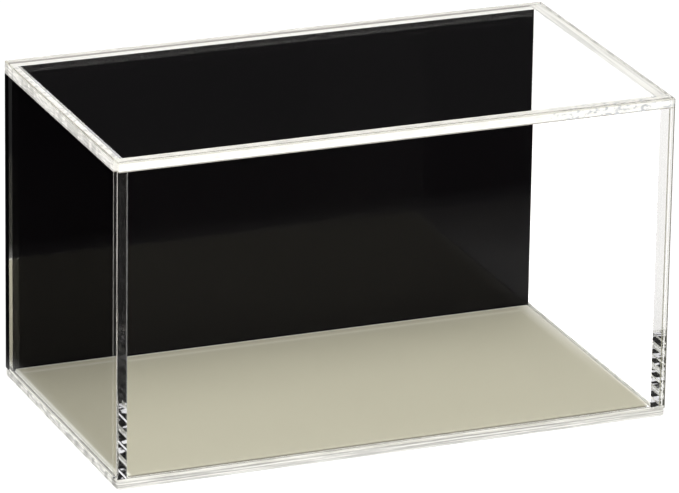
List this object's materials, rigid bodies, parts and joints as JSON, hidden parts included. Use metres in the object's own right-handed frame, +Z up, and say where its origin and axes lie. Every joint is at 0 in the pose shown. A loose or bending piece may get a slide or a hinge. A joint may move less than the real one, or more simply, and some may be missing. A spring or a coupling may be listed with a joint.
{
  "type": "acrylic display case",
  "caption": "Rectangular clear acrylic display case with a lift-off box cover, a glossy black back panel and a clear base with a satin grey floor, for keeping a collected piece free of dust.",
  "frame": {"origin": "middle of the underside of the base plate, on the surface the case stands on", "axes": "+X along the width, to the right as seen from the front; +Y from the clear front to the black back; +Z up, the way the cover lifts"},
  "size_m": [0.254, 0.144, 0.146],
  "materials": {
    "clear_acrylic": "clear cast acrylic sheet with polished edges",
    "black_acrylic": "opaque black acrylic sheet, polished",
    "grey_satin": "warm grey satin sheet"
  },
  "bodies": {
    "base": {"base_plate": "clear_acrylic", "floor_panel": "grey_satin"},
    "cover": {"front_panel": "clear_acrylic", "top_panel": "clear_acrylic", "left_panel": "clear_acrylic", "right_panel": "clear_acrylic", "back_panel": "black_acrylic"}
  },
  "joints": [
    {"name": "cover_lift", "type": "slide", "parent": "base", "child": "cover", "axis": [0, 0, 1], "range_m": [0, 0.16]}
  ]
}
